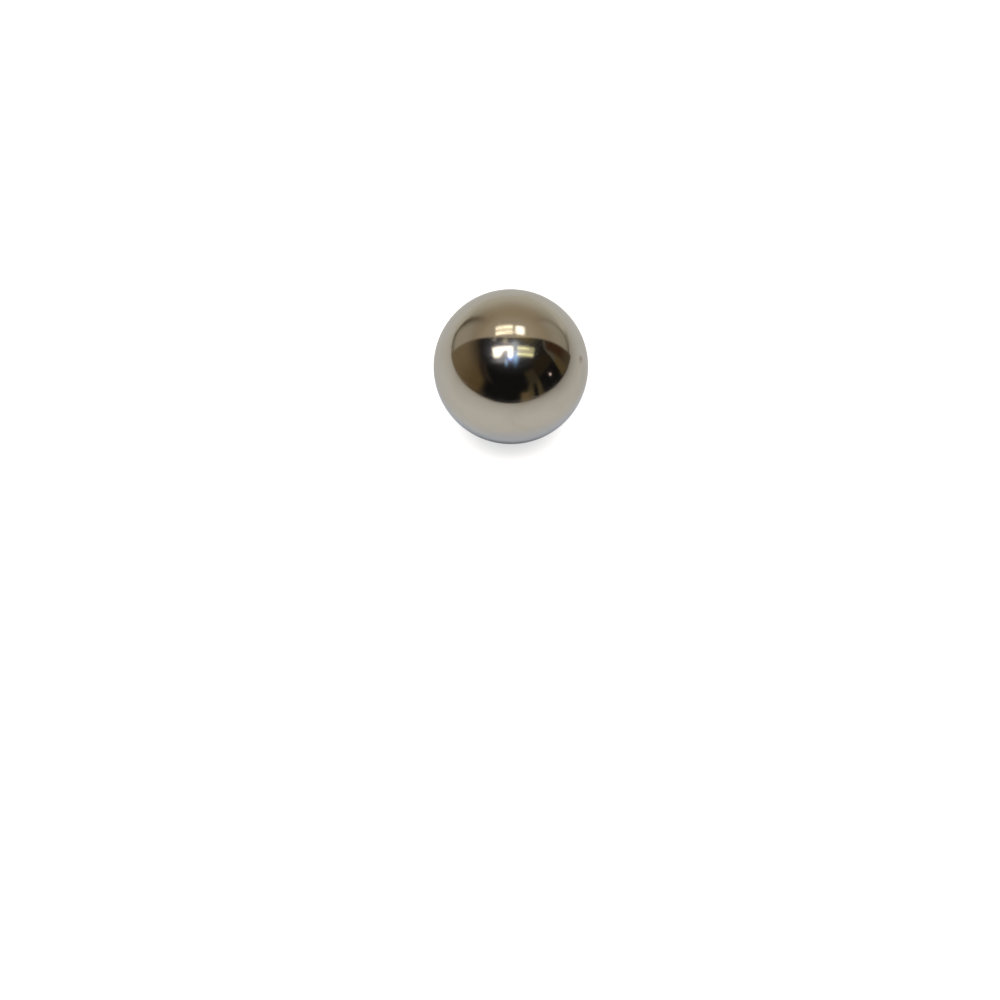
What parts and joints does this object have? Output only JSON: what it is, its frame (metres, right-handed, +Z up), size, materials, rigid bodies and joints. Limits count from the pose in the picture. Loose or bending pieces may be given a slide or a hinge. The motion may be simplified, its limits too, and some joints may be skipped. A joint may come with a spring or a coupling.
{
  "type": "steel ball",
  "caption": "Small solid steel ball, ground round and lapped to a mirror finish all over, for catches, bearings, valves and bench use.",
  "frame": {"origin": "centre of the ball", "axes": "+Z up, away from what the ball is set on; every direction through the centre is the same"},
  "size_m": [0.008, 0.008, 0.008],
  "materials": {
    "polished_steel": "lapped mirror polish on bare steel, slightly warm, with faint hairlines and handling haze"
  },
  "bodies": {
    "root": {"ball": "polished_steel"}
  },
  "joints": []
}
